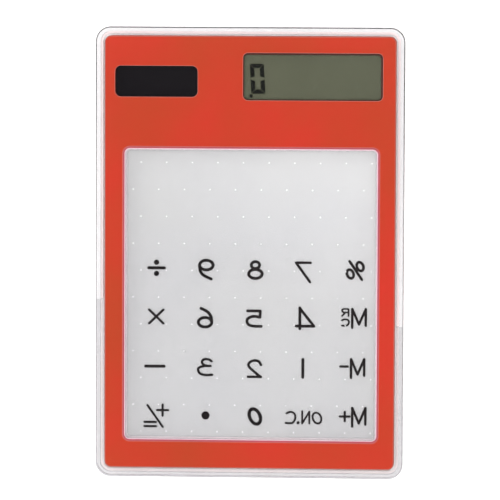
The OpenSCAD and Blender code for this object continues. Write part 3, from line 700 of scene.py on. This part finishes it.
spots = []
seen = set()
for v in nodes["touch_spacer_dots"].data.vertices:
    seen.add((round(v.co.x / MM, 2), round(v.co.y / MM, 2)))
left = sorted(seen)
while left:
    px, py = left[0]
    near = [q for q in left if abs(q[0] - px) < 1.2 and abs(q[1] - py) < 1.2]
    spots.append((sum(q[0] for q in near) / len(near), sum(q[1] for q in near) / len(near)))
    left = [q for q in left if q not in set(near)]
dots_lo, dots_hi = size_of("touch_spacer_dots")
stands_for(domes("touch_spacer_domes", dot_mat, spots, dots_hi[2], 0.19, dots_hi[2] - dots_lo[2]), "touch_spacer_dots")

# clear block in the keypad window
x0, x1, y0, y1, z0, z1 = around("window_block", AIR)
block = slab("window_block_cast", block_mat, x0, x1, y0, y1, z0, z1, KEY["r"] - 0.45, 0.03, 0.24)
block.data.materials.append(bevel_highlight_mat)
# The bevel faces take the pinkish-white painted highlight.
for p in block.data.polygons:
    if p.center.z > z1 * MM - 0.25 * MM and 0.1 < p.normal.z < 0.99:
        p.material_index = 1
stands_for(block, "window_block")

# ------------------------------------------------------------------ small inner pieces
def islands(node):
    """Boxes of a node's separate solids, in millimetres."""
    bm = bmesh.new()
    bm.from_mesh(nodes[node].data)
    bmesh.ops.remove_doubles(bm, verts=bm.verts, dist=1e-7)
    bm.verts.index_update()
    seen, out = set(), []
    for v in bm.verts:
        if v.index in seen:
            continue
        seen.add(v.index)
        stack, pts = [v], []
        while stack:
            u = stack.pop()
            pts.append(u.co / MM)
            for e in u.link_edges:
                w = e.other_vert(u)
                if w.index not in seen:
                    seen.add(w.index)
                    stack.append(w)
        out.append(([min(p[i] for p in pts) for i in range(3)], [max(p[i] for p in pts) for i in range(3)]))
    bm.free()
    return sorted(out)


def chips(name, node, body, metal, cap, inset, r):
    """Chip parts: a body a little slimmer than the two metal ends that are soldered down."""
    b = Build()
    boxes = islands(node)
    for lo, hi in boxes:
        a = 0 if hi[0] - lo[0] > hi[1] - lo[1] else 1
        u = 1 - a
        w, h = hi[u] - lo[u], hi[2] - lo[2]
        cu, cz = (hi[u] + lo[u]) / 2, (hi[2] + lo[2]) / 2

        def cut(t, d):
            pts = rr(w - 2 * d, h - 2 * d, r, 0.0, 0.0, 0.0, 4)
            return [((t, cu + p[0], cz + p[1]) if a == 0 else (cu + p[0], t, cz + p[1])) for p in pts]

        e = 0.5 * inset
        loops = [cut(lo[a], e), cut(lo[a] + e, 0.0), cut(lo[a] + cap, 0.0), cut(lo[a] + cap + 0.3 * inset, inset),
                 cut(hi[a] - cap - 0.3 * inset, inset), cut(hi[a] - cap, 0.0), cut(hi[a] - e, 0.0), cut(hi[a], e)]
        first, last = b.chain(loops)
        b.cap(first)
        b.cap(last)
    ob = b.finish(name, body, 30)
    ob.data.materials.append(metal)
    for p in ob.data.polygons:
        c = p.center / MM
        for lo, hi in boxes:
            if all(lo[i] - 0.01 <= c[i] <= hi[i] + 0.01 for i in range(3)):
                a = 0 if hi[0] - lo[0] > hi[1] - lo[1] else 1
                if min(c[a] - lo[a], hi[a] - c[a]) < cap + 0.3 * inset:
                    p.material_index = 1
    return stands_for(ob, node)


chips("storage_capacitor_chip", "storage_capacitor", cap_mat, solder_mat, 0.55, 0.08, 0.12)
chips("clamp_diode_chip", "clamp_diode", diode_mat, solder_mat, 0.35, 0.06, 0.08)
chips("chip_resistor_group", "chip_resistors", res_mat, solder_mat, 0.28, 0.03, 0.04)

lo, hi = size_of("chip_blob")
stands_for(domes("chip_epoxy_drop", epoxy_mat, [((lo[0] + hi[0]) / 2, (lo[1] + hi[1]) / 2)], hi[2], (hi[0] - lo[0]) / 2,
                 hi[2] - lo[2], 9, 48), "chip_blob")

# solder: a drop with a drawn-in waist on each joint
b = Build()
for lo, hi in islands("solder_joints"):
    cx, cy, r0, h = (lo[0] + hi[0]) / 2, (lo[1] + hi[1]) / 2, (hi[0] - lo[0]) / 2, hi[2] - lo[2]
    loops = [circle(r0 * q, lo[2] + h * t, cx, cy, 20) for t, q in
             ((0.0, 0.45), (0.06, 0.60), (0.2, 0.70), (0.45, 0.72), (0.7, 0.80), (0.88, 0.92), (1.0, 1.0))]
    first, last = b.chain(loops)
    b.cap(first)
    b.cap(last)
stands_for(b.finish("solder_drops", solder_mat, 50), "solder_joints")

# sheets and strips with eased edges
for node, name, mat, slot, r, e in (
        ("circuit_board", "circuit_board_panel", board_mat, "board", 0.8, 0.08),
        ("board_tape", "board_tape_strip", tape_mat, "white_tape", 0.3, 0.02),
        ("zebra_strip", "zebra_strip_rubber", zebra_mat, "zebra_rubber", 0.12, 0.08),
        ("solar_backing", "solar_backing_coat", coat_mat, "black_coat", 0.4, 0.02)):
    lo, hi = size_of(node)
    stands_for(slab(name, mat, lo[0], hi[0], lo[1], hi[1], lo[2], hi[2], r, e), node)

# ------------------------------------------------------------------ stage
bm = bmesh.new()
bmesh.ops.create_grid(bm, x_segments=1, y_segments=1, size=0.9)
me = bpy.data.meshes.new("floor")
bm.to_mesh(me)
bm.free()
floor = bpy.data.objects.new("floor", me)
scene.collection.objects.link(floor)
k = Mat("floor_mat")
b = k.principled(Roughness=0.9, IOR=1.3)
k.link(k.ramp(k.noise(3.0), [(0.3, (0.90, 0.90, 0.90)), (0.7, (0.92, 0.92, 0.92))]), b.inputs["Base Color"])
floor.data.materials.append(k.done(b.outputs["BSDF"]))
floor.location.z = -0.00002

world = bpy.data.worlds.new("studio")
scene.world = world
world.use_nodes = True
wt = world.node_tree
wt.nodes.clear()
wo = wt.nodes.new("ShaderNodeOutputWorld")
bg = wt.nodes.new("ShaderNodeBackground")
tc = wt.nodes.new("ShaderNodeTexCoord")
sep = wt.nodes.new("ShaderNodeSeparateXYZ")
wt.links.new(tc.outputs["Generated"], sep.inputs[0])
# a dark patch of ceiling over the table, white all round it
gap = wt.nodes.new("ShaderNodeVectorMath")
gap.operation = "DISTANCE"
gap.inputs[1].default_value = Vector((-0.055, -0.12, 1.0)).normalized()
wt.links.new(tc.outputs["Generated"], gap.inputs[0])
span = wt.nodes.new("ShaderNodeMath")
span.operation = "MULTIPLY"
span.inputs[1].default_value = 1 / 1.5
wt.links.new(gap.outputs["Value"], span.inputs[0])
rp = wt.nodes.new("ShaderNodeValToRGB")
el = rp.color_ramp.elements
el[0].position = 0.07 / 1.5
el[0].color = (0.02, 0.02, 0.022, 1)
el[1].position = 0.36 / 1.5
el[1].color = (1, 1, 1, 1)
for at, tone in ((0.115, 0.10), (0.20, 0.5), (1.26, 1.0), (1.40, 1.55)):
    e = el.new(at / 1.5)
    e.color = (tone, tone, tone * 1.02, 1)
wt.links.new(span.outputs[0], rp.inputs["Fac"])
wt.links.new(rp.outputs["Color"], bg.inputs["Color"])
bg.inputs["Strength"].default_value = 0.6
wt.links.new(bg.outputs[0], wo.inputs["Surface"])


def area(name, loc, aim, size, power):
    d = bpy.data.lights.new(name, "AREA")
    d.shape = "RECTANGLE"
    d.size, d.size_y = size
    d.energy = power
    o = bpy.data.objects.new(name, d)
    o.location = loc
    o.rotation_euler = (Vector(aim) - Vector(loc)).to_track_quat("-Z", "Y").to_euler()
    scene.collection.objects.link(o)
    return o


key = area("overhead_softbox", (0.02, 0.03, 1.6), (0, 0, 0), (0.7, 0.7), 32.0)
key.visible_glossy = False
key.visible_transmission = False
side = area("side_softbox", (-0.9, 0.6, 0.8), (0, 0, 0), (0.6, 0.6), 3.0)
side.visible_glossy = False
side.visible_transmission = False

scene.view_settings.view_transform = "Standard"
scene.view_settings.look = "None"
scene.cycles.transparent_max_bounces = 24
scene.cycles.transmission_bounces = 20
scene.cycles.glossy_bounces = 20
scene.cycles.max_bounces = 24
